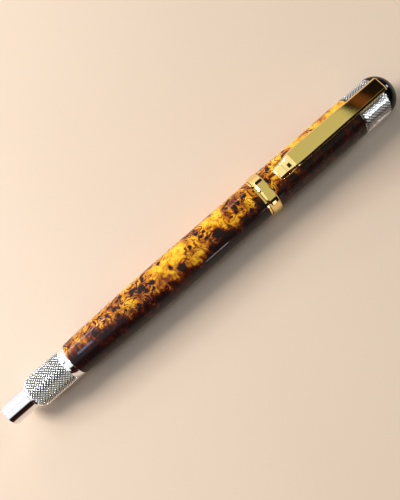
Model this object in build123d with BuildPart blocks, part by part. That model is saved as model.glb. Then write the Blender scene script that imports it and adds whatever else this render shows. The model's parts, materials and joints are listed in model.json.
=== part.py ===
from build123d import *
import os

# A capped rollerball pen, lying with its clip up. Lengths are in millimetres.
# Stations (the names that end in _at) are measured along the pen from the tail.
# The radii grow outwards from the refill, one wall or clearance at a time.

# ---- lengths, from tail to finial ----
pen_length = 140.0
tenon_length = 8.4
ferrule_length = 15.5
coupler_lip = 0.6
parting_gap = 0.1
band_width = 3.25
cap_blank_length = 30.75
cap_ring_length = 8.8
finial_height = 5.1

tenon_end_at = tenon_length
ferrule_end_at = tenon_end_at + ferrule_length
finial_at = pen_length - finial_height
ring_at = finial_at - cap_ring_length
cap_blank_at = ring_at - cap_blank_length
band_at = cap_blank_at - band_width
lip_end_at = band_at - parting_gap
barrel_end_at = lip_end_at - coupler_lip

# ---- radii, from the refill outwards ----
refill_radius = 6.1 / 2
refill_clearance = 0.15
section_bore = refill_radius + refill_clearance
collar_wall = 0.3
thread_root = section_bore + collar_wall
thread_depth = 0.25
thread_crest = thread_root + thread_depth
thread_clearance = 0.1
coupler_crest = thread_root + thread_clearance
coupler_root = thread_crest + thread_clearance
coupler_wall = 0.35
tube_wall = 0.3
barrel_tube_inner = coupler_root + coupler_wall
barrel_tube_outer = barrel_tube_inner + tube_wall
barrel_radius = barrel_tube_outer + 1.32
barrel_tail_radius = barrel_tube_outer + 0.62

spigot_wall = 0.55
grip_wall = 0.55
collar_spigot = section_bore + spigot_wall
grip_radius = collar_spigot + grip_wall
cap_clearance = 0.1
liner_wall = 0.6
liner_inner = grip_radius + cap_clearance
cap_tube_inner = liner_inner + liner_wall
cap_tube_outer = cap_tube_inner + tube_wall
cap_mouth_radius = cap_tube_outer + 0.7
cap_end_radius = cap_tube_outer + 0.77
band_radius = cap_mouth_radius + 0.35
cap_ring_radius = cap_end_radius + 0.03
finial_radius = cap_ring_radius - 0.05

# ---- placing ----
os.makedirs("parts", exist_ok=True)
axis_height = band_radius
SIDE = Plane(origin=(-pen_length / 2, 0, axis_height), x_dir=(1, 0, 0), z_dir=(0, -1, 0))
PEN_AXIS = Axis(SIDE.origin, SIDE.x_dir)


def across(station):
    """The plane square to the pen at a station, with local y up."""
    origin = SIDE.origin + SIDE.x_dir * station
    return Plane(origin=origin, x_dir=(0, 1, 0), z_dir=(1, 0, 0))


def turn(*outline, mode=Mode.ADD):
    """Turn a closed outline of (station, radius) points about the pen's axis."""
    with BuildSketch(SIDE) as profile:
        with BuildLine():
            Polyline(*outline, close=True)
        make_face()
    revolve(profile.sketch, axis=PEN_AXIS, mode=mode)


def bar(start, end, radius, mode=Mode.ADD):
    """A round bar, or with Mode.SUBTRACT a bore, between two stations."""
    turn((start, 0), (end, 0), (end, radius), (start, radius), mode=mode)


def thread(start, turns, root, depth, bite):
    """A helical ridge of the section's thread; a negative depth points it inwards."""
    outwards = 1 if depth > 0 else -1
    centre = SIDE.origin + SIDE.x_dir * start
    with BuildLine() as path:
        Helix(pitch=thread_pitch, height=turns * thread_pitch, radius=root, center=centre,
              direction=SIDE.x_dir)
    begin = path.line @ 0
    outward = (begin - centre).normalized() * outwards
    with BuildSketch(Plane(origin=begin, x_dir=outward, z_dir=path.line % 0)) as section:
        with BuildLine():
            Polyline((-bite, -ridge_base / 2), (abs(depth), -ridge_crest / 2),
                     (abs(depth), ridge_crest / 2), (-bite, ridge_base / 2), close=True)
        make_face()
    sweep(section.sketch, path=path.line, is_frenet=True)


# ======== barrel ========

# ---- posting tenon: the smooth pin that the cap is pushed onto ----
magnet_radius = 2.5
magnet_length = 4.0
tenon_spigot = magnet_radius + 0.6
tenon_spigot_length = 4.0
tenon_radius = tenon_spigot + 0.4
tenon_edge = 0.4
tenon_end_wall = 1.0
spring_seat_at = tenon_end_at + tenon_spigot_length

with BuildPart() as posting_tenon:
    bar(0, tenon_end_at, tenon_radius)
    fillet(posting_tenon.edges().group_by(Axis.X)[0], tenon_edge)
    bar(tenon_end_at, spring_seat_at, tenon_spigot)
    bar(tenon_end_wall, spring_seat_at, magnet_radius, mode=Mode.SUBTRACT)
posting_tenon.part.label = "posting_tenon"
export_step(posting_tenon.part, "parts/posting_tenon.step")

with BuildPart() as tail_magnet:
    bar(tenon_end_wall, tenon_end_wall + magnet_length, magnet_radius)
tail_magnet.part.label = "tail_magnet"
export_step(tail_magnet.part, "parts/tail_magnet.step")

# ---- end ferrule: knurled sleeve at the tail, pressed into the barrel tube ----
shoulder_radius = tenon_radius + 0.05
shoulder_length = 2.2
knurl_radius = barrel_tube_outer + 0.4
flare_length = 2.8
flare_radius = barrel_tail_radius - 0.02
chamber_radius = refill_radius + 0.35
ferrule_spigot_length = 8.0
flare_at = ferrule_end_at - flare_length
ferrule_spigot_end_at = ferrule_end_at + ferrule_spigot_length

with BuildPart() as end_ferrule:
    turn((tenon_end_at, 0), (tenon_end_at, shoulder_radius),
         (tenon_end_at + shoulder_length, knurl_radius), (flare_at, knurl_radius),
         (ferrule_end_at, flare_radius), (ferrule_end_at, barrel_tube_inner),
         (ferrule_spigot_end_at, barrel_tube_inner), (ferrule_spigot_end_at, 0))
    bar(tenon_end_at, spring_seat_at, tenon_spigot, mode=Mode.SUBTRACT)
    bar(spring_seat_at, ferrule_spigot_end_at, chamber_radius, mode=Mode.SUBTRACT)
end_ferrule.part.label = "end_ferrule"
export_step(end_ferrule.part, "parts/end_ferrule.step")

# ---- barrel tube and the turned burl blank glued on it ----
taper_length = 36.1
taper_end_at = ferrule_end_at + taper_length

with BuildPart() as barrel_tube:
    bar(ferrule_end_at, barrel_end_at, barrel_tube_outer)
    bar(ferrule_end_at, barrel_end_at, barrel_tube_inner, mode=Mode.SUBTRACT)
barrel_tube.part.label = "barrel_tube"
export_step(barrel_tube.part, "parts/barrel_tube.step")

with BuildPart() as barrel_blank:
    with BuildSketch(SIDE):
        with BuildLine():
            Bezier((taper_end_at, barrel_radius),
                   (taper_end_at - taper_length / 2, barrel_radius),
                   (ferrule_end_at, barrel_tail_radius))
            Polyline((ferrule_end_at, barrel_tail_radius), (ferrule_end_at, barrel_tube_outer),
                     (barrel_end_at, barrel_tube_outer), (barrel_end_at, barrel_radius),
                     (taper_end_at, barrel_radius))
        make_face()
    revolve(axis=PEN_AXIS)
barrel_blank.part.label = "barrel_blank"
export_step(barrel_blank.part, "parts/barrel_blank.step")

# ---- the section's screw thread, and the coupler that takes it ----
thread_pitch = 1.0
thread_turns = 6
ridge_base = 0.5
ridge_crest = 0.25
ridge_bite = 0.1
coupler_sleeve = 12.0
coupler_at = barrel_end_at - coupler_sleeve
thread_at = coupler_at + 1.0
lip_radius = cap_mouth_radius
lip_edge = 0.12

with BuildPart() as barrel_coupler:
    turn((coupler_at, 0), (coupler_at, barrel_tube_inner), (barrel_end_at, barrel_tube_inner),
         (barrel_end_at, lip_radius), (lip_end_at - lip_edge, lip_radius),
         (lip_end_at, lip_radius - lip_edge), (lip_end_at, 0))
    bar(coupler_at, lip_end_at, coupler_root, mode=Mode.SUBTRACT)
    thread(thread_at + thread_pitch / 2, thread_turns, coupler_root, -thread_depth, ridge_bite)
barrel_coupler.part.label = "barrel_coupler"
export_step(barrel_coupler.part, "parts/barrel_coupler.step")

# ======== section: what the hand holds, and the tip ========

# ---- stations inside the cap, back from the finial to the refill's seat ----
washer_thickness = 0.6
ring_wall = 3.3
liner_end_wall = 1.2
tip_room = 0.9
tip_showing = 1.5
ball_radius = 0.35
ball_showing = 0.2
tip_tube_length = 6.25
refill_nose_length = 10.5
nose_spigot_length = 5.0
washer_at = finial_at - washer_thickness
ring_wall_at = washer_at - ring_wall
liner_end_at = ring_wall_at - liner_end_wall
ball_at = liner_end_at - tip_room - ball_radius
tip_front_at = ball_at + ball_radius - ball_showing
tip_tube_at = ball_at - tip_tube_length
refill_seat_at = tip_tube_at - refill_nose_length
grip_end_at = refill_seat_at + nose_spigot_length
nose_end_at = tip_front_at - tip_showing

# ---- collar: the metal thread, pilot and flange behind the grip ----
face_gap = 0.05
flange_at = lip_end_at + face_gap
flange_radius = grip_radius + 0.7
band_mouth_depth = 1.0
magnet_at = band_at + band_mouth_depth
flange_end_at = magnet_at - face_gap
collar_start_at = thread_at - 0.8
thread_end_at = thread_at + thread_turns * thread_pitch
pilot_at = thread_end_at + 1.6
pilot_radius = coupler_root - face_gap
collar_spigot_length = 6.0
collar_spigot_end_at = flange_end_at + collar_spigot_length

with BuildPart() as section_collar:
    turn((collar_start_at, 0), (collar_start_at, thread_root), (pilot_at, thread_root),
         (pilot_at, pilot_radius), (flange_at, pilot_radius), (flange_at, flange_radius),
         (flange_end_at, flange_radius), (flange_end_at, collar_spigot),
         (collar_spigot_end_at, collar_spigot), (collar_spigot_end_at, 0))
    thread(thread_at, thread_turns, thread_root, thread_depth, ridge_bite)
    bar(collar_start_at, collar_spigot_end_at, section_bore, mode=Mode.SUBTRACT)
section_collar.part.label = "section_collar"
export_step(section_collar.part, "parts/section_collar.step")

# ---- grip: waisted, with a raised lip at the front ----
grip_waist = grip_radius - 0.45
grip_lip = grip_radius - 0.1
grip_lip_length = 1.6
grip_lip_at = grip_end_at - grip_lip_length
nose_spigot = section_bore + 0.3

with BuildPart() as grip:
    with BuildSketch(SIDE):
        with BuildLine():
            ThreePointArc((flange_end_at, grip_radius),
                          ((flange_end_at + grip_lip_at) / 2, grip_waist),
                          (grip_lip_at, grip_lip - 0.1))
            ThreePointArc((grip_lip_at, grip_lip - 0.1),
                          ((grip_lip_at + grip_end_at) / 2, grip_lip),
                          (grip_end_at, grip_lip - 0.15))
            Polyline((grip_end_at, grip_lip - 0.15), (grip_end_at, 0), (flange_end_at, 0),
                     (flange_end_at, grip_radius))
        make_face()
    revolve(axis=PEN_AXIS)
    bar(flange_end_at, grip_end_at, section_bore, mode=Mode.SUBTRACT)
    bar(flange_end_at, collar_spigot_end_at, collar_spigot, mode=Mode.SUBTRACT)
    bar(refill_seat_at, grip_end_at, nose_spigot, mode=Mode.SUBTRACT)
grip.part.label = "grip"
export_step(grip.part, "parts/grip.step")

# ---- nose cone: the metal tip that screws into the grip ----
refill_nose_radius = 2.3
tip_tube_radius = 1.15
nose_base = grip_lip - 0.2
nose_tip = tip_tube_radius + 0.4
nose_bulge = 0.3
nose_middle_at = (grip_end_at + nose_end_at) / 2
nose_bore = refill_nose_radius + 0.1
nose_bore_end_at = tip_tube_at + 0.6

with BuildPart() as nose_cone:
    with BuildSketch(SIDE):
        with BuildLine():
            ThreePointArc((grip_end_at, nose_base),
                          (nose_middle_at, (nose_base + nose_tip) / 2 + nose_bulge),
                          (nose_end_at, nose_tip))
            Polyline((nose_end_at, nose_tip), (nose_end_at, 0), (refill_seat_at, 0),
                     (refill_seat_at, nose_spigot), (grip_end_at, nose_spigot),
                     (grip_end_at, nose_base))
        make_face()
    revolve(axis=PEN_AXIS)
    bar(refill_seat_at, nose_bore_end_at, nose_bore, mode=Mode.SUBTRACT)
    bar(nose_bore_end_at, nose_end_at, tip_tube_radius + 0.1, mode=Mode.SUBTRACT)
nose_cone.part.label = "nose_cone"
export_step(nose_cone.part, "parts/nose_cone.step")

# ======== refill ========

spring_length = 6.0
refill_tail_at = spring_seat_at + spring_length
refill_wall = 0.45
refill_inner = refill_radius - refill_wall
end_cap_flange = 3.0
end_cap_plug = 4.0
refill_shoulder_at = refill_seat_at - face_gap
nose_plug = 5.0
nose_feed = 0.6
reservoir_gap = 1.0

with BuildPart() as refill_tube:
    bar(refill_tail_at + end_cap_flange, refill_shoulder_at, refill_radius)
    bar(refill_tail_at + end_cap_flange, refill_shoulder_at, refill_inner, mode=Mode.SUBTRACT)
refill_tube.part.label = "refill_tube"
export_step(refill_tube.part, "parts/refill_tube.step")

with BuildPart() as refill_end_cap:
    bar(refill_tail_at, refill_tail_at + end_cap_flange, refill_radius)
    chamfer(refill_end_cap.edges().group_by(Axis.X)[0], 0.4)
    bar(refill_tail_at + end_cap_flange, refill_tail_at + end_cap_flange + end_cap_plug,
        refill_inner)
refill_end_cap.part.label = "refill_end_cap"
export_step(refill_end_cap.part, "parts/refill_end_cap.step")

with BuildPart() as refill_nose:
    bar(refill_shoulder_at - nose_plug, refill_shoulder_at, refill_inner)
    bar(refill_shoulder_at, tip_tube_at, refill_nose_radius)
    chamfer(refill_nose.edges().group_by(Axis.X)[-1], 0.5)
    bar(refill_shoulder_at - nose_plug, tip_tube_at, nose_feed, mode=Mode.SUBTRACT)
refill_nose.part.label = "refill_nose"
export_step(refill_nose.part, "parts/refill_nose.step")

with BuildPart() as ink_reservoir:
    bar(refill_tail_at + end_cap_flange + end_cap_plug + reservoir_gap,
        refill_shoulder_at - nose_plug - reservoir_gap, refill_inner - 0.05)
ink_reservoir.part.label = "ink_reservoir"
export_step(ink_reservoir.part, "parts/ink_reservoir.step")

# ---- tip tube: a turned point whose lip holds the ball ----
ball_clearance = 0.02
tip_taper_at = ball_at - 1.6
tip_lip_radius = ball_radius + 0.09
tip_bore = 0.2

with BuildPart() as tip_tube:
    turn((tip_tube_at, 0), (tip_tube_at, tip_tube_radius), (tip_taper_at, tip_tube_radius),
         (tip_front_at, tip_lip_radius), (tip_front_at, 0))
    bar(tip_tube_at, ball_at, tip_bore, mode=Mode.SUBTRACT)
    with Locations(SIDE.origin + SIDE.x_dir * ball_at):
        Sphere(ball_radius + ball_clearance, mode=Mode.SUBTRACT)
tip_tube.part.label = "tip_tube"
export_step(tip_tube.part, "parts/tip_tube.step")

with BuildPart() as writing_ball:
    with Locations(SIDE.origin + SIDE.x_dir * ball_at):
        Sphere(ball_radius)
writing_ball.part.label = "writing_ball"
export_step(writing_ball.part, "parts/writing_ball.step")

# ---- spring behind the refill ----
spring_wire = 0.5
spring_radius = chamber_radius - 0.6
spring_pitch = 1.1

with BuildPart() as refill_spring:
    with BuildLine() as coil:
        Helix(pitch=spring_pitch, height=spring_length - spring_wire - 2 * face_gap,
              radius=spring_radius, direction=SIDE.x_dir,
              center=SIDE.origin + SIDE.x_dir * (spring_seat_at + face_gap + spring_wire / 2))
    with BuildSketch(Plane(origin=coil.line @ 0, z_dir=coil.line % 0)):
        Circle(spring_wire / 2)
    sweep(path=coil.line, is_frenet=True)
refill_spring.part.label = "refill_spring"
export_step(refill_spring.part, "parts/refill_spring.step")

# ======== cap ========

# ---- centre band, the ring magnet in it, and the bushing that holds both to the tube ----
band_bevel = 0.55
band_back_bevel = 0.4
band_mouth = flange_radius + 0.1
cap_magnet_bore = grip_radius + 0.2
cap_magnet_width = 0.9
cap_magnet_length = 1.5
cap_magnet_radius = cap_magnet_bore + cap_magnet_width
bushing_at = magnet_at + cap_magnet_length
bushing_bore = grip_radius + 0.3
bushing_length = 7.5
bushing_end_at = cap_blank_at + bushing_length

with BuildPart() as center_band:
    turn((band_at, 0), (band_at, cap_mouth_radius), (band_at + band_bevel, band_radius),
         (cap_blank_at - band_back_bevel, band_radius), (cap_blank_at, cap_mouth_radius),
         (cap_blank_at, 0))
    bar(band_at, magnet_at, band_mouth, mode=Mode.SUBTRACT)
    bar(magnet_at, cap_blank_at, cap_magnet_radius, mode=Mode.SUBTRACT)
center_band.part.label = "center_band"
export_step(center_band.part, "parts/center_band.step")

with BuildPart() as cap_magnet:
    bar(magnet_at, bushing_at, cap_magnet_radius)
    bar(magnet_at, bushing_at, cap_magnet_bore, mode=Mode.SUBTRACT)
cap_magnet.part.label = "cap_magnet"
export_step(cap_magnet.part, "parts/cap_magnet.step")

with BuildPart() as cap_bushing:
    bar(bushing_at, cap_blank_at, cap_magnet_radius)
    bar(cap_blank_at, bushing_end_at, cap_tube_inner)
    bar(bushing_at, bushing_end_at, bushing_bore, mode=Mode.SUBTRACT)
cap_bushing.part.label = "cap_bushing"
export_step(cap_bushing.part, "parts/cap_bushing.step")

# ---- cap tube and its burl blank ----
with BuildPart() as cap_tube:
    bar(cap_blank_at, ring_at, cap_tube_outer)
    bar(cap_blank_at, ring_at, cap_tube_inner, mode=Mode.SUBTRACT)
cap_tube.part.label = "cap_tube"
export_step(cap_tube.part, "parts/cap_tube.step")

with BuildPart() as cap_blank:
    turn((cap_blank_at, cap_tube_outer), (ring_at, cap_tube_outer), (ring_at, cap_end_radius),
         (cap_blank_at, cap_mouth_radius))
cap_blank.part.label = "cap_blank"
export_step(cap_blank.part, "parts/cap_blank.step")

# ---- knurled cap ring, pressed into the top of the cap tube ----
ring_spigot_length = 5.1
ring_bore = cap_tube_inner - 0.4
ring_spigot_at = ring_at - ring_spigot_length
washer_radius = 4.8
washer_clearance = 0.05
stud_radius = 1.5
tab_width = 3.6

with BuildPart() as cap_ring:
    turn((ring_spigot_at, 0), (ring_spigot_at, cap_tube_inner), (ring_at, cap_tube_inner),
         (ring_at, cap_ring_radius), (finial_at, cap_ring_radius), (finial_at, 0))
    bar(ring_spigot_at, ring_wall_at, ring_bore, mode=Mode.SUBTRACT)
    bar(ring_wall_at, washer_at, stud_radius, mode=Mode.SUBTRACT)
    bar(washer_at, finial_at, washer_radius + washer_clearance, mode=Mode.SUBTRACT)
    with BuildSketch(across(washer_at)):
        Rectangle(tab_width + 2 * washer_clearance, 2 * cap_ring_radius,
                  align=(Align.CENTER, Align.MIN))
    extrude(amount=washer_thickness, mode=Mode.SUBTRACT)
cap_ring.part.label = "cap_ring"
export_step(cap_ring.part, "parts/cap_ring.step")

# ---- liner: the blind plastic inner cap that seals over the grip and tip ----
liner_tail_wall = 0.45
liner_step_at = ring_spigot_at - 0.2

with BuildPart() as cap_liner:
    bar(bushing_end_at, liner_step_at, cap_tube_inner)
    bar(liner_step_at, ring_wall_at, ring_bore)
    bar(bushing_end_at, liner_step_at, liner_inner, mode=Mode.SUBTRACT)
    bar(liner_step_at, liner_end_at, ring_bore - liner_tail_wall, mode=Mode.SUBTRACT)
cap_liner.part.label = "cap_liner"
export_step(cap_liner.part, "parts/cap_liner.step")

# ---- finial: a glossy dome, and the stud that draws it down on the clip's washer ----
stud_length = 6.1
stud_at = ring_wall_at + 0.5
stud_end_at = stud_at + stud_length

with BuildPart() as finial:
    with BuildSketch(SIDE):
        with BuildLine():
            EllipticalCenterArc((finial_at, 0), finial_height, finial_radius, arc_size=90)
            Polyline((finial_at, finial_radius), (finial_at, 0), (pen_length, 0))
        make_face()
    revolve(axis=PEN_AXIS)
    bar(finial_at, stud_end_at + 0.2, stud_radius, mode=Mode.SUBTRACT)
finial.part.label = "finial"
export_step(finial.part, "parts/finial.step")

with BuildPart() as finial_stud:
    bar(stud_at, stud_end_at, stud_radius)
    chamfer(finial_stud.edges().filter_by(GeomType.CIRCLE), 0.2)
finial_stud.part.label = "finial_stud"
export_step(finial_stud.part, "parts/finial_stud.step")

# ---- clip: a folded channel on a washer that the finial clamps ----
# Across, it is narrowest at the tip, widest at the step and narrows again to the root.
clip_rise = 2.4
clip_gap = 0.2
clip_sheet = 0.5
clip_bevel = 0.55
clip_end_bevel = 0.4
clip_tip_inset = 3.05
clip_length = cap_blank_length + cap_ring_length - clip_tip_inset
clip_root_width = 4.7
clip_step_width = 5.2
clip_tip_width = 3.9
clip_shoulder = 9.0
clip_pad_length = 2.6
clip_slope_length = 3.2
clip_drop = 1.1
clip_nose = 0.5
clip_top = cap_ring_radius + clip_rise
clip_foot = cap_ring_radius + clip_gap
clip_pad = clip_top - clip_drop
clip_tip_at = finial_at - clip_length
clip_slope_at = clip_tip_at + clip_pad_length
clip_panel_at = clip_slope_at + clip_slope_length
clip_slope_middle_at = (clip_slope_at + clip_panel_at) / 2
clip_shoulder_at = clip_tip_at + clip_shoulder
tab_top = clip_foot - clip_gap / 2

with BuildPart() as clip_washer:
    bar(washer_at, finial_at, washer_radius)
    with BuildSketch(across(washer_at)):
        Rectangle(tab_width, tab_top, align=(Align.CENTER, Align.MIN))
    extrude(amount=washer_thickness)
    bar(washer_at, finial_at, stud_radius + 0.1, mode=Mode.SUBTRACT)
clip_washer.part.label = "clip_washer"
export_step(clip_washer.part, "parts/clip_washer.step")

with BuildPart() as clip:
    with BuildSketch(SIDE):
        with BuildLine():
            Polyline((clip_panel_at, clip_top), (finial_at - clip_end_bevel, clip_top),
                     (finial_at, clip_top - clip_end_bevel), (finial_at, clip_foot),
                     (clip_tip_at, clip_foot), (clip_tip_at, clip_pad - clip_nose),
                     (clip_tip_at + clip_nose, clip_pad), (clip_slope_at, clip_pad))
            Bezier((clip_slope_at, clip_pad), (clip_slope_middle_at, clip_pad),
                   (clip_slope_middle_at, clip_top), (clip_panel_at, clip_top))
        make_face()
    extrude(amount=clip_step_width / 2, both=True)
    with BuildSketch(Plane(origin=SIDE.origin + SIDE.y_dir * clip_foot)):
        with BuildLine():
            Polyline((finial_at, -clip_root_width / 2), (clip_shoulder_at, -clip_step_width / 2),
                     (clip_tip_at, -clip_tip_width / 2), (clip_tip_at, clip_tip_width / 2),
                     (clip_shoulder_at, clip_step_width / 2), (finial_at, clip_root_width / 2),
                     close=True)
        make_face()
    extrude(amount=clip_rise, mode=Mode.INTERSECT)
    panel = clip.faces().sort_by(Axis.Z)[-1]
    chamfer(panel.edges().sort_by(SortBy.LENGTH)[-2:], clip_bevel)
    with BuildSketch(SIDE):
        with BuildLine():
            Polyline((clip_panel_at, clip_foot), (washer_at, clip_foot),
                     (washer_at, clip_top - clip_sheet),
                     (clip_panel_at, clip_top - clip_sheet), close=True)
        make_face()
    extrude(amount=clip_root_width / 2 - clip_sheet, both=True, mode=Mode.SUBTRACT)
clip.part.label = "clip"
export_step(clip.part, "parts/clip.step")
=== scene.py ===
import json
import math

import bpy
import bmesh
from mathutils import Matrix, Vector


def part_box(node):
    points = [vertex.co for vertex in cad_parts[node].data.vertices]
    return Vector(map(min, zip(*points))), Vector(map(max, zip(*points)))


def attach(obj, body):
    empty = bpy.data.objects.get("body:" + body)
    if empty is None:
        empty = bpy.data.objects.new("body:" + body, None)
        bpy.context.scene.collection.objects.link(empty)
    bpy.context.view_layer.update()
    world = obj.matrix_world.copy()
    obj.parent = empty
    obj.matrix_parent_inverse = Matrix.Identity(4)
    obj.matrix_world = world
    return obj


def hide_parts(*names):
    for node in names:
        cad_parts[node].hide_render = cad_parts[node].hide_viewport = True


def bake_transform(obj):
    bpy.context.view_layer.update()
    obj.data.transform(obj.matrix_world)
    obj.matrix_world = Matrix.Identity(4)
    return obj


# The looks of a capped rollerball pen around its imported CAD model.
# Stations are millimetres along the pen from the tail, as in the CAD source, and radii are
# millimetres from the pen's axis. Everything is turned into metres in pen_point().

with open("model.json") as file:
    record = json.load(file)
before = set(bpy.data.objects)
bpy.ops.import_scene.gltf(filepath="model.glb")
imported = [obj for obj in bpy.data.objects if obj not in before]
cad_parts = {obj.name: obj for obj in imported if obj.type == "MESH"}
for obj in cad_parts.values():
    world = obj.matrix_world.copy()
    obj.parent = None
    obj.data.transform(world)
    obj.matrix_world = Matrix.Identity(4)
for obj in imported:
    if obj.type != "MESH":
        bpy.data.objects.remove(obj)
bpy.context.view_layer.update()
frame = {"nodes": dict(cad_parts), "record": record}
nodes = frame["nodes"]

MM = 0.001
TAIL_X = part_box("posting_tenon")[0].x
AXIS_Z = sum(corner.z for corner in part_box("center_band")) / 2

# ---- stations of the visible pieces, read from the frame ----


def stations(node):
    """First and last station of a CAD node."""
    low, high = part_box(node)
    return (low.x - TAIL_X) / MM, (high.x - TAIL_X) / MM


def radius_of(node):
    """Outer radius of a round CAD node."""
    low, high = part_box(node)
    return (high.y - low.y) / 2 / MM


FERRULE_LENGTH = 15.5
ferrule_end, barrel_end = stations("barrel_tube")
tenon_end = ferrule_end - FERRULE_LENGTH
band_start, band_end = stations("center_band")
ring_start = stations("cap_tube")[1]
finial_start, pen_end = stations("finial")
clip_tip, clip_root = stations("clip")

# ---- where the camera stands about the pen: over its middle, rolled towards -Y ----
PEN_MIDDLE = 70.0
CAMERA_ROLL = math.radians(14.6)
VIEW = Vector((0, -math.sin(CAMERA_ROLL), math.cos(CAMERA_ROLL)))
NEAR = Vector((0, -math.cos(CAMERA_ROLL), -math.sin(CAMERA_ROLL)))


def pen_point(station, radius, angle=0.0):
    """A point in the row frame; the angle runs from the clip's side towards +Y."""
    return Vector((TAIL_X + station * MM, radius * math.sin(angle) * MM,
                   AXIS_Z + radius * math.cos(angle) * MM))


def eased(share):
    """A smooth step from 0 to 1."""
    share = min(max(share, 0.0), 1.0)
    return share * share * (3 - 2 * share)


# ======== mesh helpers ========

SHARP = math.radians(28)


def link_mesh(name, vertices, faces):
    """A mesh object in the scene, straight from its points and faces."""
    mesh = bpy.data.meshes.new(name)
    mesh.from_pydata([tuple(v) for v in vertices], [], faces)
    piece = bpy.data.objects.new(name, mesh)
    bpy.context.scene.collection.objects.link(piece)
    return piece


def new_piece(name, vertices, faces, body, slot, *replaced):
    """A closed mesh that rides on a body, takes a material slot and may stand for CAD nodes."""
    piece = link_mesh(name, vertices, faces)
    mesh = piece.data
    work = bmesh.new()
    work.from_mesh(mesh)
    bmesh.ops.remove_doubles(work, verts=work.verts, dist=0.5e-6)
    bmesh.ops.dissolve_degenerate(work, edges=work.edges, dist=0.2e-6)
    bmesh.ops.recalc_face_normals(work, faces=work.faces)
    work.to_mesh(mesh)
    work.free()
    mesh.shade_smooth()
    mesh.set_sharp_from_angle(angle=SHARP)
    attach(piece, body)
    if replaced:
        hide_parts(*replaced)
    mesh.materials.append(material_of[slot])
    return piece


def rounded(*corners, steps=5):
    """A closed outline of (station, radius) points with its corners rounded.
    A corner is (station, radius) or (station, radius, fillet)."""
    outline = []
    for index, corner in enumerate(corners):
        here = Vector(corner[:2])
        if len(corner) == 2:
            outline.append(here)
            continue
        before = Vector(corners[index - 1][:2]) - here
        after = Vector(corners[(index + 1) % len(corners)][:2]) - here
        reach = corner[2] / math.tan(before.angle(after) / 2)
        reach = min(reach, before.length * 0.45, after.length * 0.45)
        start = here + before.normalized() * reach
        end = here + after.normalized() * reach
        for step in range(steps + 1):
            t = step / steps
            outline.append(start * (1 - t) ** 2 + here * 2 * t * (1 - t) + end * t * t)
    return outline


def rings_to_faces(rows, columns, first_row=0):
    """Quads between each ring of a closed outline and the next."""
    faces = []
    for row in range(first_row, rows):
        above = (row + 1) % rows
        for column in range(columns):
            beside = (column + 1) % columns
            faces.append((row * columns + column, row * columns + beside,
                          above * columns + beside, above * columns + column))
    return faces


def tube_faces(rows, columns):
    """Quads along an open run of rows + 1 rings, and a cap on each end."""
    faces = []
    for row in range(rows):
        below, above = row * columns, (row + 1) * columns
        for column in range(columns):
            beside = (column + 1) % columns
            faces.append((below + column, below + beside, above + beside, above + column))
    faces.append(tuple(reversed(range(columns))))
    faces.append(tuple(range(rows * columns, (rows + 1) * columns)))
    return faces


def lathe(name, outline, body, slot, *replaced, segments=192):
    """A solid turned about the pen's axis from a closed outline of (station, radius) points."""
    vertices = [pen_point(station, radius, 2 * math.pi * k / segments)
                for station, radius in outline for k in range(segments)]
    faces = rings_to_faces(len(outline), segments)
    weigh_normals(new_piece(name, vertices, faces, body, slot, *replaced))


def weigh_normals(piece):
    """Let the large faces keep their own normals beside narrow rounded edges."""
    weighted = piece.modifiers.new("weighted", "WEIGHTED_NORMAL")
    weighted.keep_sharp = True
    weighted.weight = 80


KNURL_STEPS = 8          # mesh steps across one diamond
KNURL_STRETCH = 1.05     # a diamond's length along the pen over its width round it
KNURL_DEPTH = 0.21
KNURL_FLAT = 0.82        # the share of a diamond's half width that its slope takes up
SHADOW_LEAD = 0.9          # length past the knurl's start that carries a painted shadow where it meets the next part


def knurl_height(around, along):
    """Height, 0 to 1, of a diamond knurl; both arguments count diamonds."""
    one = abs(around + along - round(around + along))
    other = abs(around - along - round(around - along))
    return min(1.0, 2 * min(one, other) / KNURL_FLAT)


def knurled(name, count, start, end, knurl_radius, surface, rest, body, slot, *replaced):
    """A sleeve with a diamond knurl of count diamonds round it between two stations.
    surface(station, height) gives the radius; rest closes the outline, past the knurl's end.
    The point attribute made here, 0 on a crest and 1 at full depth, and more near the knurl's
    start, is what metal() darkens as painted shade."""
    pitch = 2 * math.pi * knurl_radius / count * KNURL_STRETCH
    columns = count * KNURL_STEPS
    rows = round((end - start) / pitch * KNURL_STEPS)
    vertices, faces = [], []
    for row in range(rows + 1):
        station = start + (end - start) * row / rows
        for column in range(columns):
            height = knurl_height(column / KNURL_STEPS, row / KNURL_STEPS)
            angle = 2 * math.pi * column / columns
            vertices.append(pen_point(station, surface(station, height), angle))
    half = KNURL_STEPS // 2
    for row in range(rows):
        for column in range(columns):
            beside = (column + 1) % columns
            a, b = row * columns + column, row * columns + beside
            d, c = a + columns, b + columns
            if (row // half + column // half) % 2:
                faces += [(a, b, d), (b, c, d)]
            else:
                faces += [(a, b, c), (a, c, d)]
    for station, radius in rest:
        vertices += [pen_point(station, radius, 2 * math.pi * k / columns) for k in range(columns)]
    faces += rings_to_faces(rows + 1 + len(rest), columns, first_row=rows)
    piece = new_piece(name, vertices, faces, body, slot, *replaced)
    groove_shade = piece.data.attributes.new("groove_shade", "FLOAT", "POINT")
    for vertex, share in zip(piece.data.vertices, groove_shade.data):
        station = (vertex.co.x - TAIL_X) / MM
        if start < station < end:
            angle = math.atan2(vertex.co.y, vertex.co.z - AXIS_Z)
            along = (station - start) / (end - start) * rows / KNURL_STEPS
            height = knurl_height(angle / (2 * math.pi) * count, along)
            cut = (surface(station, 1.0) - surface(station, height)) / KNURL_DEPTH
            # painted shade: the depth of cut, plus a painted shadow along the knurl's start where
            # it meets the next part
            share.value = cut + max(0.0, 1 - (station - start) / SHADOW_LEAD)


# ======== materials ========


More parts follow.
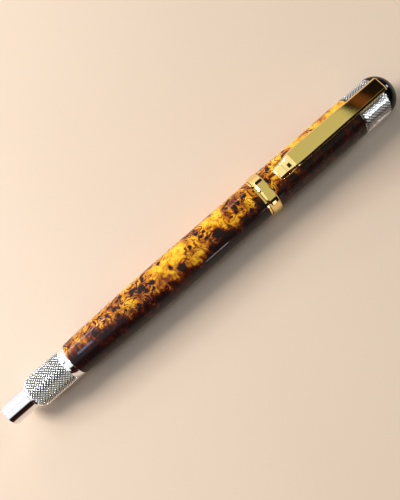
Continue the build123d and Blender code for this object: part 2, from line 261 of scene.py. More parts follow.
class Shader:
    """The nodes of a material or world under construction. Texture lengths are in millimetres."""

    def __init__(self, owner):
        self.owner = owner
        owner.use_nodes = True
        self.tree = owner.node_tree
        self.surface = self.tree.nodes.get("Principled BSDF") or self.tree.nodes["Background"]

    def add(self, kind, inputs=(), **settings):
        node = self.tree.nodes.new(kind)
        for key, value in settings.items():
            setattr(node, key, value)
        for key, value in dict(inputs).items():
            self.put(node.inputs[key], value)
        return node

    def put(self, socket, value):
        if isinstance(value, bpy.types.NodeSocket):
            self.tree.links.new(value, socket)
        else:
            socket.default_value = value

    def set(self, **inputs):
        for key, value in inputs.items():
            self.put(self.surface.inputs[key.replace("_", " ")], value)

    def math(self, operation, a, b=0.0, c=0.0, clamp=False):
        node = self.add("ShaderNodeMath", {0: a, 1: b, 2: c}, operation=operation)
        node.use_clamp = clamp
        return node.outputs[0]

    def vector(self, operation, a, b=(0, 0, 0)):
        return self.add("ShaderNodeVectorMath", {0: a, 1: b}, operation=operation)

    def place(self):
        """Position about the pen's axis in millimetres, fixed to the piece."""
        place = self.add("ShaderNodeTexCoord").outputs["Object"]
        centred = self.vector("SUBTRACT", place, (0, 0, AXIS_Z)).outputs[0]
        scaled = self.add("ShaderNodeVectorMath", {0: centred, "Scale": 1 / MM}, operation="SCALE")
        return scaled.outputs[0]

    def stretched(self, place, x, y, z):
        return self.vector("MULTIPLY", place, (x, y, z)).outputs[0]

    def noise(self, place, scale, detail=2.0, roughness=0.5, distortion=0.0):
        node = self.add("ShaderNodeTexNoise", {"Vector": place, "Scale": scale, "Detail": detail,
                                               "Roughness": roughness, "Distortion": distortion})
        return node.outputs["Fac"], node.outputs["Color"]

    def warped(self, place, scale, amount, detail=1.0):
        """The place pushed about by noise, by up to half the amount each way."""
        push = self.vector("SUBTRACT", self.noise(place, scale, detail)[1], (0.5, 0.5, 0.5))
        push = self.add("ShaderNodeVectorMath", {0: push.outputs[0], "Scale": amount},
                        operation="SCALE")
        return self.vector("ADD", place, push.outputs[0]).outputs[0]

    def step(self, value, low, high, start=0.0, end=1.0):
        """A smooth step of value from start at low to end at high."""
        node = self.add("ShaderNodeMapRange", {"Value": value, "From Min": low, "From Max": high,
                                               "To Min": start, "To Max": end},
                        interpolation_type="SMOOTHSTEP")
        return node.outputs[0]

    def ramp(self, value, *stops):
        node = self.add("ShaderNodeValToRGB", {0: value})
        elements = node.color_ramp.elements
        while len(elements) < len(stops):
            elements.new(1.0)
        for element, (position, colour) in zip(elements, stops):
            element.position = position
            element.color = (*colour, 1.0)
        return node.outputs[0]

    def mix(self, share, a, b):
        node = self.add("ShaderNodeMix", data_type="RGBA")
        self.put(node.inputs["Factor"], share)
        self.put(node.inputs["A"], a)
        self.put(node.inputs["B"], b)
        return node.outputs["Result"]

    def bump(self, height, distance, strength=1.0):
        """Relief of a height in millimetres."""
        node = self.add("ShaderNodeBump", {"Height": height, "Distance": distance * MM,
                                           "Strength": strength})
        return node.outputs[0]


def metal(name, colour, worn_colour, roughness, scratches=0.0004):
    """Plated metal: faint fine scratches along the pen, smudges, slight wear, and painted shade in
    a knurl's grooves and at its start.
    """
    m = Shader(bpy.data.materials.new(name))
    place = m.place()
    smudge = m.noise(place, 0.35, 3.0, 0.6)[0]
    fine = m.noise(m.stretched(place, 1.2, 9, 9), 1.0, 3.0, 0.6)[0]
    wear = m.step(m.noise(place, 1.6, 4.0, 0.65)[0], 0.62, 0.78)
    # painted shade: a knurl's grooves and its start, as marked on the piece, darkened nearly black
    groove_shade = m.add("ShaderNodeAttribute", attribute_name="groove_shade").outputs["Fac"]
    painted_groove_shade = m.step(groove_shade, 0.50, 0.80, 0.0, 0.93)
    m.set(Metallic=1.0, IOR=1.5)
    plated = m.mix(wear, (*colour, 1), (*worn_colour, 1))
    m.set(Base_Color=m.mix(painted_groove_shade, plated, (0.02, 0.02, 0.022, 1)))
    m.set(Roughness=m.step(smudge, 0.3, 0.75, roughness, roughness * 1.9))
    m.set(Normal=m.bump(fine, scratches))
    return m.owner


def moulded(name, colour, roughness, grain=0.004, coat=0.0, ior=1.5):
    """Moulded or lacquered plastic with a fine grain."""
    m = Shader(bpy.data.materials.new(name))
    place = m.place()
    dark = tuple(0.6 * c for c in colour)
    m.set(Base_Color=m.mix(m.noise(place, 0.5, 3.0)[0], (*dark, 1), (*colour, 1)))
    smudge = m.noise(place, 0.8, 4.0)[0]
    m.set(Roughness=m.step(smudge, 0.3, 0.7, roughness * 0.8, roughness * 1.25))
    m.set(IOR=ior, Coat_Weight=coat, Coat_Roughness=0.03, Coat_IOR=1.5)
    m.set(Normal=m.bump(m.noise(place, 9.0, 2.0)[0], grain))
    return m.owner


def fibres(name, colour):
    """A rod of bonded fibres that run along the pen."""
    m = Shader(bpy.data.materials.new(name))
    strand = m.noise(m.stretched(m.place(), 0.4, 8, 8), 1.0, 3.0)[0]
    m.set(Base_Color=m.mix(strand, (*(0.5 * c for c in colour), 1), (*colour, 1)))
    m.set(Roughness=0.85, Sheen_Weight=0.3)
    m.set(Normal=m.bump(strand, 0.05))
    return m.owner


# Burl colours, from the bright wood between the eyes to their black centres; the dark end also
# colours the painted shade along the near side.
BURL = ((0.00, (1.00, 0.68, 0.05)), (0.18, (0.95, 0.47, 0.012)), (0.36, (0.60, 0.20, 0.005)),
        (0.52, (0.29, 0.060, 0.003)), (0.68, (0.12, 0.014, 0.002)), (0.84, (0.040, 0.004, 0.001)),
        (1.00, (0.008, 0.001, 0.001)))

# Large single eyes in the wood: station, place across the pen towards its near side, and radius.
KNOTS = ((41.9, -3.0, 0.55), (41.9, -1.0, 0.5), (44.5, -0.9, 0.35), (45.0, -4.6, 0.6),
         (48.6, -3.5, 0.7), (51.2, -2.6, 0.75), (47.6, 1.3, 0.5), (54.6, -2.0, 0.6),
         (58.9, -4.5, 0.6), (60.9, -1.6, 0.5), (63.2, 0.3, 1.05), (76.6, -0.3, 1.3),
         (68.4, -2.4, 0.5), (72.6, 1.4, 0.5), (84.0, -1.2, 0.6), (97.6, 2.4, 0.45),
         (100.4, 3.2, 0.4), (29.0, 3.0, 0.9), (33.8, -1.6, 0.8))
KNOT_SURFACE = 5.6       # radius of the wood's surface that the eyes are centred on


def burl(name):
    """Glossy lacquered burl: amber wood with dark eyes and swirls round them, and painted shade
    along the near side, away from the light, that reaches into the amber in fingers."""
    m = Shader(bpy.data.materials.new(name))
    place = m.place()
    soft = m.warped(place, 0.16, 5.0, 2.0)
    crisp = m.warped(place, 0.7, 0.9, 2.0)
    near = m.vector("DOT_PRODUCT", place, tuple(NEAR)).outputs["Value"]
    along = m.add("ShaderNodeSeparateXYZ", {0: place}).outputs["X"]

    # knots: the nearest one, measured in its own radii
    nearest = 9.0
    for station, across, radius in KNOTS:
        depth = math.sqrt(KNOT_SURFACE ** 2 - across ** 2)
        centre = NEAR * across + VIEW * depth
        centre.x = TAIL_X / MM + station
        away = m.vector("DISTANCE", crisp, tuple(centre)).outputs["Value"]
        nearest = m.math("MINIMUM", nearest, m.math("DIVIDE", away, radius))
    core = m.step(nearest, 0.7, 1.3, 0.55, 0.0)
    halo = m.step(nearest, 1.0, 1.9, 0.22, 0.0)
    knot = m.math("ADD", core, halo)

    # small eyes, in clusters
    cells = m.add("ShaderNodeTexVoronoi", {"Vector": m.warped(crisp, 0.3, 2.0), "Scale": 0.46})
    size = m.add("ShaderNodeSeparateColor", {0: cells.outputs["Color"]}).outputs["Red"]
    crowd = m.step(m.noise(place, 0.13, 1.0)[0], 0.42, 0.62, -0.12, 0.12)
    reach = m.math("ADD", m.math("MULTIPLY", size, 0.20), crowd)
    eye = m.step(m.math("SUBTRACT", cells.outputs["Distance"], reach), -0.04, 0.16, 1.0, 0.0)

    # swirls: contour lines of one field that rises towards the eyes and knots
    field = m.noise(soft, 0.20, 2.0, 0.5, 0.5)[0]
    ring = m.math("DIVIDE", 0.16, m.math("ADD", nearest, 0.6))
    pull = m.math("ADD", ring, m.math("MULTIPLY", cells.outputs["Distance"], -0.07))
    contour = m.math("MULTIPLY", m.math("ADD", field, pull), 10.0)
    swirl = m.math("ABSOLUTE", m.math("SINE", m.math("MULTIPLY", contour, math.pi)))
    line = m.step(swirl, 0.0, 0.8, 1.0, 0.0)
    line_share = m.step(m.noise(soft, 0.11, 1.0)[0], 0.38, 0.60, 0.14, 0.62)

    # painted shade along the near side, away from the light; its edge runs into the amber in
    # fingers
    near_shade_edge = m.step(along, -32.0, -23.5, -1.3, 2.0)
    near_shade_edge = m.math("SUBTRACT", near_shade_edge, m.step(along, -4.0, 16.0, 0.2, 1.2))
    near_shade_edge = m.math("SUBTRACT", near_shade_edge, m.step(along, 30.0, 40.0, 0.0, 1.6))
    fingers = m.noise(m.stretched(crisp, 0.42, 0.09, 0.09), 1.0, 3.0, 0.55, 0.4)[0]
    fingers = m.math("MULTIPLY", m.math("SUBTRACT", fingers, 0.5), 9.0)
    painted_near_shade = m.step(m.math("SUBTRACT", m.math("ADD", near, fingers), near_shade_edge), -1.6, 1.8)

    # darkness of the wood, 0 to 1, a little more towards the tail, with the painted shade of the
    # near side laid over it
    mottle = m.noise(crisp, 0.42, 4.0, 0.62, 0.5)[0]
    cloud = m.noise(soft, 0.14, 2.0)[0]
    dark = m.math("ADD", m.step(mottle, 0.34, 0.66, 0.0, 0.30),
                  m.step(cloud, 0.38, 0.66, 0.0, 0.32))
    dark = m.math("ADD", dark, m.step(along, -42.0, -24.0, 0.16, 0.0))
    dark = m.math("ADD", dark, m.math("MULTIPLY", line, line_share))
    dark = m.math("ADD", dark, m.math("MULTIPLY", eye, 0.68))
    dark = m.math("ADD", dark, knot)
    # painted shade: the near side darkened with a mottle, and the wood's own darkness eased under
    # it
    shade = m.math("MULTIPLY", painted_near_shade, m.step(mottle, 0.3, 0.7, 0.72, 1.0))
    dark = m.math("ADD", m.math("MULTIPLY", dark, m.step(painted_near_shade, 0.0, 1.0, 1.0, 0.30)), shade,
                  clamp=True)

    m.set(Base_Color=m.ramp(dark, *BURL))
    m.set(Roughness=m.step(dark, 0.0, 1.0, 0.34, 0.5), Specular_IOR_Level=0.12)
    m.set(Coat_Weight=1.0, Coat_Roughness=0.025, Coat_IOR=1.2)
    m.set(Normal=m.bump(m.math("MULTIPLY", dark, -1.0), 0.01, 0.3))
    m.set(Coat_Normal=m.bump(m.noise(place, 0.25, 2.0)[0], 0.012))
    return m.owner


material_of = {
    "burl": burl("burl"),
    "gold": metal("gold", (0.97, 0.71, 0.27), (0.92, 0.68, 0.30), 0.035),
    "chrome": metal("chrome", (0.86, 0.87, 0.89), (0.80, 0.80, 0.82), 0.035),
    "black_gloss": moulded("black_gloss", (0.004, 0.004, 0.005), 0.05, 0.0004, ior=1.2),
    "black_plastic": moulded("black_plastic", (0.035, 0.035, 0.038), 0.55),
    "grip_black": moulded("grip_black", (0.022, 0.022, 0.025), 0.3, 0.0015, coat=0.4),
    "brass_tube": metal("brass_tube", (0.80, 0.60, 0.30), (0.55, 0.38, 0.18), 0.25, 0.002),
    "steel": metal("steel", (0.62, 0.62, 0.64), (0.52, 0.52, 0.54), 0.22, 0.002),
    "spring_steel": metal("spring_steel", (0.66, 0.66, 0.68), (0.56, 0.56, 0.58), 0.16),
    "magnet_nickel": metal("magnet_nickel", (0.74, 0.72, 0.68), (0.62, 0.60, 0.56), 0.14),
    "refill_plastic": moulded("refill_plastic", (0.05, 0.09, 0.36), 0.4),
    "ink_fibre": fibres("ink_fibre", (0.03, 0.04, 0.22)),
    "carbide": metal("carbide", (0.46, 0.46, 0.48), (0.40, 0.40, 0.42), 0.12),
}

slot_of = {part["node"]: part["material_slot"] for part in frame["record"]["subparts"]}
for name, node in nodes.items():
    node.data.materials.clear()
    node.data.materials.append(material_of[slot_of[name]])

# ======== barrel ========

# ---- posting tenon: smooth pin with a rounded end rim ----
tenon_radius = radius_of("posting_tenon")
TENON_FACE_RADIUS = tenon_radius - 0.9
TENON_STEP_RADIUS = tenon_radius - 0.55
TENON_STEP = 0.12
TENON_RIM_FILLET = 0.75
SPIGOT_RADIUS = 3.1
SPIGOT_END = tenon_end + 4.0
MAGNET_RADIUS = 2.5
MAGNET_SEAT = 1.0
lathe("posting_tenon_turned",
      rounded((0, 0), (0, TENON_FACE_RADIUS, 0.3), (TENON_STEP, TENON_STEP_RADIUS, 0.2),
              (TENON_STEP, tenon_radius, TENON_RIM_FILLET), (tenon_end, tenon_radius),
              (tenon_end, SPIGOT_RADIUS), (SPIGOT_END, SPIGOT_RADIUS),
              (SPIGOT_END, MAGNET_RADIUS), (MAGNET_SEAT, MAGNET_RADIUS), (MAGNET_SEAT, 0)),
      "barrel", "chrome", "posting_tenon")

# ---- end ferrule: knurled sleeve with a knurled shoulder and a smooth flare ----
FERRULE_DIAMONDS = 32
FERRULE_KNURL_RADIUS = 4.9
SHOULDER_RADIUS = 3.6
SHOULDER_LENGTH = 2.2
SHOULDER_CURVE = 0.8     # under 1 fills the shoulder out
FLARE_RADIUS = 5.1
FLARE_RISE = 0.75
FLARE_LENGTH = 3.6
FLARE_STRAIGHT = 0.8     # plain run at full radius, next to the wood
FLARE_OVER_CREST = 0.3   # how far the flare may stand over the knurl's crests
FERRULE_LIP = 0.12
CHAMBER_RADIUS = 3.4
FERRULE_SPIGOT_RADIUS = 4.2
FERRULE_SPIGOT_END = ferrule_end + 8.0


def ferrule_surface(station, height):
    """The knurled crest, cut to its depth, until the smooth flare rises through it."""
    rise = min(1.0, (station - tenon_end) / SHOULDER_LENGTH)
    bulge = math.sin(rise * math.pi / 2) ** SHOULDER_CURVE
    crest = SHOULDER_RADIUS + (FERRULE_KNURL_RADIUS - SHOULDER_RADIUS) * bulge
    fall = eased((ferrule_end - FLARE_STRAIGHT - station) / FLARE_LENGTH)
    flare = FLARE_RADIUS - FLARE_RISE * fall
    return max(crest - KNURL_DEPTH * (1 - height), min(flare, crest + FLARE_OVER_CREST))


knurled("end_ferrule_knurled", FERRULE_DIAMONDS, tenon_end, ferrule_end - FERRULE_LIP,
        FERRULE_KNURL_RADIUS, ferrule_surface,
        rounded((ferrule_end, FLARE_RADIUS, 0.1), (ferrule_end, FERRULE_SPIGOT_RADIUS),
                (FERRULE_SPIGOT_END, FERRULE_SPIGOT_RADIUS, 0.2),
                (FERRULE_SPIGOT_END, CHAMBER_RADIUS), (SPIGOT_END, CHAMBER_RADIUS),
                (SPIGOT_END, SPIGOT_RADIUS), (tenon_end, SPIGOT_RADIUS)),
        "barrel", "chrome", "end_ferrule")

# ---- burl blanks of barrel and cap, slightly eased at their ends ----
BARREL_RADIUS = radius_of("barrel_blank")
BARREL_TAIL_RADIUS = 5.12
TUBE_RADIUS = radius_of("barrel_tube")
TAPER_LENGTH = 36.1
BLANK_EDGE = 0.06


def barrel_radius(station):
    """The barrel swells from its tail, ever more slowly, to a straight run."""
    share = min(1.0, (station - ferrule_end) / TAPER_LENGTH)
    return BARREL_TAIL_RADIUS + (BARREL_RADIUS - BARREL_TAIL_RADIUS) * (2 * share - share * share)


def blank_outline(start, end, radius_at, bore, rows=60):
    """Outline of a bored blank whose radius changes along its length."""
    inside = [start + BLANK_EDGE + (end - start - 2 * BLANK_EDGE) * k / rows
              for k in range(rows + 1)]
    return ([(start, bore), (start, radius_at(start) - BLANK_EDGE)]
            + [(station, radius_at(station)) for station in inside]
            + [(end, radius_at(end) - BLANK_EDGE), (end, bore)])


lathe("barrel_blank_turned", blank_outline(ferrule_end, barrel_end, barrel_radius, TUBE_RADIUS),
      "barrel", "burl", "barrel_blank", segments=256)

CAP_TUBE_RADIUS = radius_of("cap_tube")
CAP_MOUTH_RADIUS = 6.0
CAP_END_RADIUS = radius_of("cap_blank")


def cap_radius(station):
    """The cap's wood tapers evenly from the band to the ring."""
    share = (station - band_end) / (ring_start - band_end)
    return CAP_MOUTH_RADIUS + (CAP_END_RADIUS - CAP_MOUTH_RADIUS) * share


lathe("cap_blank_turned",
      blank_outline(band_end, ring_start, cap_radius, CAP_TUBE_RADIUS, rows=24),
      "cap", "burl", "cap_blank", segments=256)

# ======== cap ========

# ---- centre band: a bevel at each end, with softened edges ----
BAND_RADIUS = radius_of("center_band")
BAND_BEVEL = 0.55
BAND_BACK_BEVEL = 0.4
BAND_MOUTH = 5.1
MAGNET_START = band_start + 1.0
CAP_MAGNET_RADIUS = 5.4
SOFT_EDGE = 0.09
lathe("center_band_turned",
      rounded((band_start, CAP_MOUTH_RADIUS, SOFT_EDGE),
              (band_start + BAND_BEVEL, BAND_RADIUS, SOFT_EDGE),
              (band_end - BAND_BACK_BEVEL, BAND_RADIUS, SOFT_EDGE),
              (band_end, CAP_MOUTH_RADIUS, 0.05), (band_end, CAP_MAGNET_RADIUS),
              (MAGNET_START, CAP_MAGNET_RADIUS), (MAGNET_START, BAND_MOUTH),
              (band_start, BAND_MOUTH, 0.05)),
      "cap", "gold", "center_band", segments=256)

# ---- cap ring: a thin smooth lip, then the knurl ----
RING_DIAMONDS = 40
RING_RADIUS = radius_of("cap_ring")
RING_LIP = 0.2
RING_LIP_FADE = 0.3
RING_SPIGOT_START = ring_start - 5.1
RING_SPIGOT_RADIUS = 5.0
RING_BORE = 4.6
RING_WALL_START = finial_start - 3.9
STUD_RADIUS = 1.5
WASHER_SEAT = finial_start - 0.6
WASHER_BORE = 4.85


def ring_surface(station, height):
    """Full-height crests that end in a plain lip on the wood's side."""
    fade = eased((station - ring_start - RING_LIP) / RING_LIP_FADE)
    return RING_RADIUS - KNURL_DEPTH * (1 - height) * fade


knurled("cap_ring_knurled", RING_DIAMONDS, ring_start, finial_start, RING_RADIUS, ring_surface,
        rounded((finial_start, WASHER_BORE), (WASHER_SEAT, WASHER_BORE),
                (WASHER_SEAT, STUD_RADIUS), (RING_WALL_START, STUD_RADIUS),
                (RING_WALL_START, RING_BORE), (RING_SPIGOT_START, RING_BORE),
                (RING_SPIGOT_START, RING_SPIGOT_RADIUS, 0.2), (ring_start, RING_SPIGOT_RADIUS)),
        "cap", "chrome", "cap_ring")

# ---- finial: a polished elliptical dome ----
FINIAL_RADIUS = radius_of("finial")
FINIAL_ROWS = 48
STUD_HOLE_END = finial_start + 2.9
dome = [(finial_start + (pen_end - finial_start) * math.sin(k / FINIAL_ROWS * math.pi / 2),
         FINIAL_RADIUS * math.cos(k / FINIAL_ROWS * math.pi / 2)) for k in range(FINIAL_ROWS)]
lathe("finial_turned",
      [(finial_start, STUD_RADIUS), *dome, (pen_end, 0), (STUD_HOLE_END, 0),
       (STUD_HOLE_END, STUD_RADIUS)],
      "cap", "black_gloss", "finial", segments=256)

# ---- clip: a folded channel with bevelled edges, a stepped slope and a rounded tip pad ----
clip_low, clip_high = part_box("clip")
CLIP_TOP = (clip_high.z - AXIS_Z) / MM
CLIP_FOOT = (clip_low.z - AXIS_Z) / MM
CLIP_DROP = 1.1          # from the panel's top down to the pad's
PAD_FALL = 0.42          # how much lower the pad is at its tip
CLIP_PAD_END = clip_tip + 2.6
CLIP_PANEL_START = clip_tip + 5.8
CLIP_SHOULDER = clip_tip + 9.0
CLIP_CHANNEL_END = finial_start - 0.6
CLIP_SHEET = 0.5
TIP_HALF_WIDTH = 1.95
TIP_CORNER = 0.9         # length of the tip's rounded corner in plan
TIP_CORNER_CUT = 0.75    # width that the corner takes off each side
NOSE_LENGTH = 0.7
NOSE_FALL = 0.55
STEP_HALF_WIDTH = 2.6
STEP_BOW = 0.35          # how far the step's middle stands out towards the tip
ROOT_HALF_WIDTH = 2.35
ROOT_EASE = 0.4
PAD_BEVEL, PANEL_BEVEL = 0.85, 0.55
PAD_FILLET, PANEL_FILLET = 0.5, 0.07


def clip_half_width(station):
    """Half the clip's width, with the tip's corners rounded in plan."""
    if station > CLIP_SHOULDER:
        share = (station - CLIP_SHOULDER) / (clip_root - CLIP_SHOULDER)
        return STEP_HALF_WIDTH + (ROOT_HALF_WIDTH - STEP_HALF_WIDTH) * share
    share = (station - clip_tip) / (CLIP_SHOULDER - clip_tip)
    width = TIP_HALF_WIDTH + (STEP_HALF_WIDTH - TIP_HALF_WIDTH) * math.sin(share * math.pi / 2)
    corner = min(1.0, (station - clip_tip) / TIP_CORNER)
    return width - TIP_CORNER_CUT * (1 - math.sqrt(corner * (2 - corner)))


def clip_height(station):
    """Height of the clip's top over the axis along its middle."""
    rise = eased((station - CLIP_PAD_END) / (CLIP_PANEL_START - CLIP_PAD_END))
    top = CLIP_TOP - CLIP_DROP * (1 - rise)
    top -= PAD_FALL * max(0.0, (CLIP_PAD_END - station) / (CLIP_PAD_END - clip_tip))
    nose = min(1.0, (station - clip_tip) / NOSE_LENGTH)
    top -= NOSE_FALL * (1 - math.sqrt(nose * (2 - nose)))
    return top - ROOT_EASE * max(0.0, (station - clip_root + ROOT_EASE) / ROOT_EASE)


def clip_section(station):
    """Closed outline across the clip, as (across, height) points: outside, then channel."""
    half, top = clip_half_width(station), clip_height(station)
    on_panel = eased((station - CLIP_PAD_END) / (CLIP_PANEL_START - CLIP_PAD_END))
    bevel = PAD_BEVEL + (PANEL_BEVEL - PAD_BEVEL) * on_panel
    bevel = min(bevel, (top - CLIP_FOOT) * 0.8)
    soft = PAD_FILLET + (PANEL_FILLET - PAD_FILLET) * on_panel
    hollow = CLIP_PANEL_START < station < CLIP_CHANNEL_END
    ceiling = top - CLIP_SHEET if hollow else CLIP_FOOT + 0.02
    inside = half - CLIP_SHEET
    right = [(half, CLIP_FOOT, 0.1), (half, top - bevel, soft), (half - bevel, top, soft)]
    left = [(-x, height, fillet) for x, height, fillet in reversed(right)]
    channel = [(-inside, CLIP_FOOT), (-inside, ceiling), (inside, ceiling), (inside, CLIP_FOOT)]
    return rounded(*right, *left, *channel, steps=6)


def clip_stations():
    """Where the clip's sections stand: close together where its outline bends."""
    tip = [clip_tip + TIP_CORNER * (1 - math.cos(k / 14 * math.pi / 2)) for k in range(15)]
    pad = [clip_tip + TIP_CORNER + (CLIP_PAD_END - clip_tip - TIP_CORNER) * k / 8
           for k in range(1, 8)]
    slope = [CLIP_PAD_END + (CLIP_PANEL_START - CLIP_PAD_END) * k / 40 for k in range(41)]
    shoulder = [CLIP_PANEL_START + 0.01 + (CLIP_SHOULDER - CLIP_PANEL_START) * k / 10
                for k in range(11)]
    panel = [CLIP_SHOULDER + (clip_root - 0.46 - CLIP_SHOULDER) * k / 12 for k in range(1, 13)]
    channel = [CLIP_CHANNEL_END - 0.005, CLIP_CHANNEL_END + 0.005]
    end = [clip_root - ROOT_EASE + ROOT_EASE * k / 6 for k in range(7)]
    return sorted(set(tip + pad + slope + shoulder + panel + channel + end))


def make_clip():
    """The clip's sections, one after another, with the step bowed towards the tip."""
    vertices = []
    places = clip_stations()
    for station in places:
        half = clip_half_width(station)
        bow = (STEP_BOW * eased((station - CLIP_PAD_END) / 0.8)
               * eased((CLIP_SHOULDER - station) / 2.5))
        section = clip_section(station)
        for across, height in section:
            shift = -bow * max(0.0, 1 - (across / half) ** 2)
            point = pen_point(station + shift, height)
            vertices.append(Vector((point.x, across * MM, point.z)))
    size = len(section)
    faces = tube_faces(len(places) - 1, size)
    weigh_normals(new_piece("clip_folded", vertices, faces, "clip", "gold", "clip"))


make_clip()

# ======== inside the barrel: the spring, in two halves ==================================

SPRING_START, SPRING_END = stations("refill_spring")
SPRING_WIRE = 0.25
SPRING_RADIUS = 2.8
SPRING_TURNS = 4.8
SPRING_STEPS = 40
SPRING_SIDES = 12


def make_spring_half(name, first, last):
    """Half of a coil of round wire, between two shares of its length."""
    start_row, end_row = (round(SPRING_TURNS * SPRING_STEPS * share) for share in (first, last))
    rings = round(SPRING_TURNS * SPRING_STEPS)
    length = SPRING_END - SPRING_START - 2 * SPRING_WIRE
    vertices = []
    for row in range(start_row, end_row + 1):
        share = row / rings
        turn = 2 * math.pi * SPRING_TURNS * share
        station = SPRING_START + SPRING_WIRE + length * share
        for side in range(SPRING_SIDES):
            around = 2 * math.pi * side / SPRING_SIDES
            vertices.append(pen_point(station + SPRING_WIRE * math.sin(around),
                                      SPRING_RADIUS + SPRING_WIRE * math.cos(around), turn))
    half = link_mesh(name, vertices, tube_faces(end_row - start_row, SPRING_SIDES))
    half.data.shade_smooth()
    half.data.materials.append(material_of["spring_steel"])
    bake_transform(half)
    return half


tail_half = make_spring_half("refill_spring_tail", 0.0, 0.5)
make_spring_half("refill_spring_front", 0.5, 1.0)
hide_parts("refill_spring")

# ======== studio: floor, soft light and camera ========


FLOOR_HALF_WIDTH = 1.5   # metres


def make_floor():
    """A plain pale floor."""
    half = FLOOR_HALF_WIDTH
    floor = link_mesh("floor", [(-half, -half, 0), (half, -half, 0), (half, half, 0),
                                (-half, half, 0)], [(0, 1, 2, 3)])
    m = Shader(bpy.data.materials.new("pale_floor"))
    tone = m.noise(m.place(), 0.01, 3.0)[0]
    m.set(Base_Color=m.mix(tone, (0.80, 0.61, 0.45, 1), (0.86, 0.67, 0.51, 1)), Roughness=0.6)
    floor.data.materials.append(m.owner)


def softbox(name, slope, polar, distance, length, width, radiance, colour=(1, 1, 1)):
    """A rectangular light that faces the pen's middle. slope is its reach along the pen over its
    reach off the axis, polar is degrees off the zenith towards -Y. length runs along the pen and
    width across it; both and distance are in millimetres."""
    angle = math.radians(polar)
    centre = pen_point(PEN_MIDDLE, 0)
    reach = Vector((slope, -math.sin(angle), math.cos(angle)))
    data = bpy.data.lights.new(name, "AREA")
    data.shape = "RECTANGLE"
    data.size = length * MM
    data.size_y = width * MM
    data.color = colour
    data.energy = radiance * math.pi * data.size * data.size_y
    light = bpy.data.objects.new(name, data)
    away = reach.normalized()
    x_axis = (Vector((1, 0, 0)) - away * away.x).normalized()
    turned = Matrix((x_axis, away.cross(x_axis), away)).transposed().to_4x4()
    light.matrix_world = Matrix.Translation(centre + reach * distance * MM) @ turned
    light.visible_camera = False
    bpy.context.scene.collection.objects.link(light)


def make_lights():
    """A key from the tail's far side, and small boxes for the highlights on metal and lacquer."""
    softbox("key", -0.95, -42, 600, 330, 330, 22.0, (1.0, 0.97, 0.94))
    softbox("window_far", -0.415, -54, 600, 95, 110, 22.0, (0.62, 0.80, 1.0))
    softbox("window_near", -0.455, 3, 600, 38, 150, 18.0, (0.50, 0.62, 1.0))
    softbox("line_far", 0.12, -62.5, 500, 60, 26, 34.0)
    softbox("line_near", 0.03, 88, 500, 40, 18, 50.0)
    softbox("apex", 4.0, 0, 200, 110, 110, 60.0, (0.75, 0.87, 1.0))


# Colours of the room's patches, as seen in the pen's reflections.
WHITE_WALL = (1.1, 1.1, 1.1, 1)
WARM_WALL = (1.0, 0.96, 0.90, 1)
GREEN_GREY_WALL = (0.56, 0.60, 0.42, 1)
DARK_WALL = (0.01, 0.008, 0.008, 1)
BLACK_CARD = (0.01, 0.01, 0.01, 1)
WHITE_CARD = (2.4, 2.4, 2.4, 1)
UPPER_BROWN, LOWER_BROWN = (0.015, 0.006, 0.005, 1), (0.09, 0.025, 0.015, 1)
END_WALL, END_STRIPE = (0.008, 0.006, 0.005, 1), (0.14, 0.05, 0.02, 1)
BACKDROP = (0.90, 0.78, 0.66, 1)
DIFFUSE_CUT = 0.65       # share of the room's light kept off matt surfaces


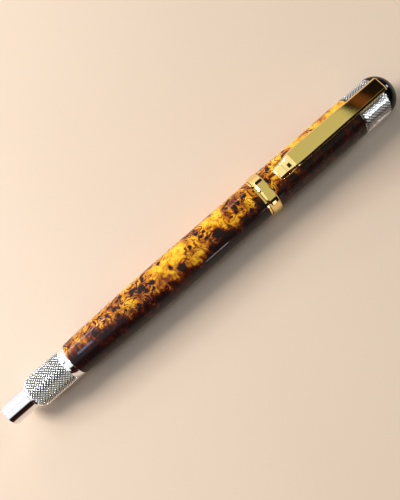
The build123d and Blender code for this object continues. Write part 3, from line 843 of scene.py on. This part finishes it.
def make_world():
    """A room that is bright over the tail and the far side and dark towards the near side.
    slope is a direction's reach along the pen over its reach off the axis, as in softbox(),
    and polar its angle off the zenith towards -Y."""
    m = Shader(bpy.data.worlds.new("studio"))
    bpy.context.scene.world = m.owner
    direction = m.add("ShaderNodeTexCoord").outputs["Generated"]
    parts = m.add("ShaderNodeSeparateXYZ", {0: direction}).outputs
    across = m.math("MULTIPLY", parts["Y"], -1.0)
    polar = m.math("ARCTAN2", across, parts["Z"])
    flat = m.math("SQRT", m.math("ADD", m.math("POWER", parts["Y"], 2.0),
                                 m.math("POWER", parts["Z"], 2.0)))
    slope = m.math("DIVIDE", parts["X"], m.math("MAXIMUM", flat, 0.01))

    def band(low, high, soft=3.0):
        """1 between two angles off the zenith in degrees, towards -Y."""
        rise = m.step(polar, math.radians(low - soft), math.radians(low + soft))
        fall = m.step(polar, math.radians(high - soft), math.radians(high + soft), 1.0, 0.0)
        return m.math("MULTIPLY", rise, fall)

    # over the tail: white, brown low on the near side
    tail_low = m.step(polar, math.radians(60), math.radians(100))
    tail_dark = m.mix(tail_low, UPPER_BROWN, LOWER_BROWN)
    steep = m.math("MULTIPLY", m.step(slope, -0.95, -0.75, 1.0, 0.0),
                   m.step(polar, 0.9, 1.2, 1.0, 0.0))
    low = m.math("MULTIPLY", band(38, 108, 6.0), m.math("SUBTRACT", 1.0, steep))
    tail_side = m.mix(low, WHITE_WALL, tail_dark)

    # over the cap: green-grey overhead, dark on both sides of it, warm beyond that, and a
    # white card low on the near side
    cap_side = m.mix(band(-47, 60), WARM_WALL, GREEN_GREY_WALL)
    cap_dark = m.math("ADD", band(-66, -47), band(60, 112), clamp=True)
    cap_side = m.mix(cap_dark, cap_side, DARK_WALL)
    card = m.math("MULTIPLY", m.step(slope, 0.145, 0.155), m.step(slope, 0.20, 0.21, 1.0, 0.0))
    card = m.math("MULTIPLY", card, band(77, 106, 1.0))
    cap_side = m.mix(card, cap_side, WHITE_CARD)
    room = m.mix(m.step(slope, -0.06, 0.10), tail_side, cap_side)

    # past the cap's end: dark, with a brown stripe, along an edge that leans
    leaning = m.math("MULTIPLY", m.math("MAXIMUM", polar, -0.35), -0.44)
    far_end = m.math("ADD", slope, leaning)
    stripe = m.math("MULTIPLY", m.step(far_end, 0.562, 0.572),
                    m.step(far_end, 0.590, 0.600, 1.0, 0.0))
    room = m.mix(m.step(far_end, 0.542, 0.552), room, m.mix(stripe, END_WALL, END_STRIPE))

    # a narrow black card over the tail, which darkens part of the clip's step
    strip = m.math("MULTIPLY", m.step(slope, -1.7, -1.6), m.step(slope, -0.75, -0.65, 1.0, 0.0))
    strip = m.math("MULTIPLY", strip, band(-19.5, -10.5, 1.0))
    room = m.mix(strip, room, BLACK_CARD)

    rays = m.add("ShaderNodeLightPath").outputs
    fill = m.math("SUBTRACT", 1.0, m.math("MULTIPLY", rays["Is Diffuse Ray"], DIFFUSE_CUT))
    room = m.add("ShaderNodeVectorMath", {0: room, "Scale": fill}, operation="SCALE").outputs[0]
    m.set(Color=m.mix(rays["Is Camera Ray"], room, BACKDROP))


CAMERA_DISTANCE = 133    # millimetres from the pen's middle
CAMERA_LENS = 34.2
CAMERA_SENSOR = 36.0
CAMERA_TURN = math.radians(41.0)


def make_camera():
    """Close over the pen, turned so that the finial points up and to the right."""
    data = bpy.data.cameras.new("camera")
    data.lens = CAMERA_LENS
    data.sensor_width = CAMERA_SENSOR
    data.clip_start = 0.005
    data.clip_end = 20.0
    position = pen_point(PEN_MIDDLE, 0) + VIEW * CAMERA_DISTANCE * MM
    back = (position - pen_point(PEN_MIDDLE, 0)).normalized()
    pen = Vector((1, 0, 0))
    pen = (pen - back * pen.dot(back)).normalized()
    right = pen * math.cos(CAMERA_TURN) - back.cross(pen) * math.sin(CAMERA_TURN)
    up = back.cross(right)
    turned = Matrix((right, up, back)).transposed().to_4x4()
    camera = bpy.data.objects.new("camera", data)
    camera.matrix_world = Matrix.Translation(position) @ turned
    bpy.context.scene.collection.objects.link(camera)
    bpy.context.scene.camera = camera


make_floor()
make_lights()
make_world()
make_camera()
bpy.context.scene.view_settings.view_transform = "Standard"
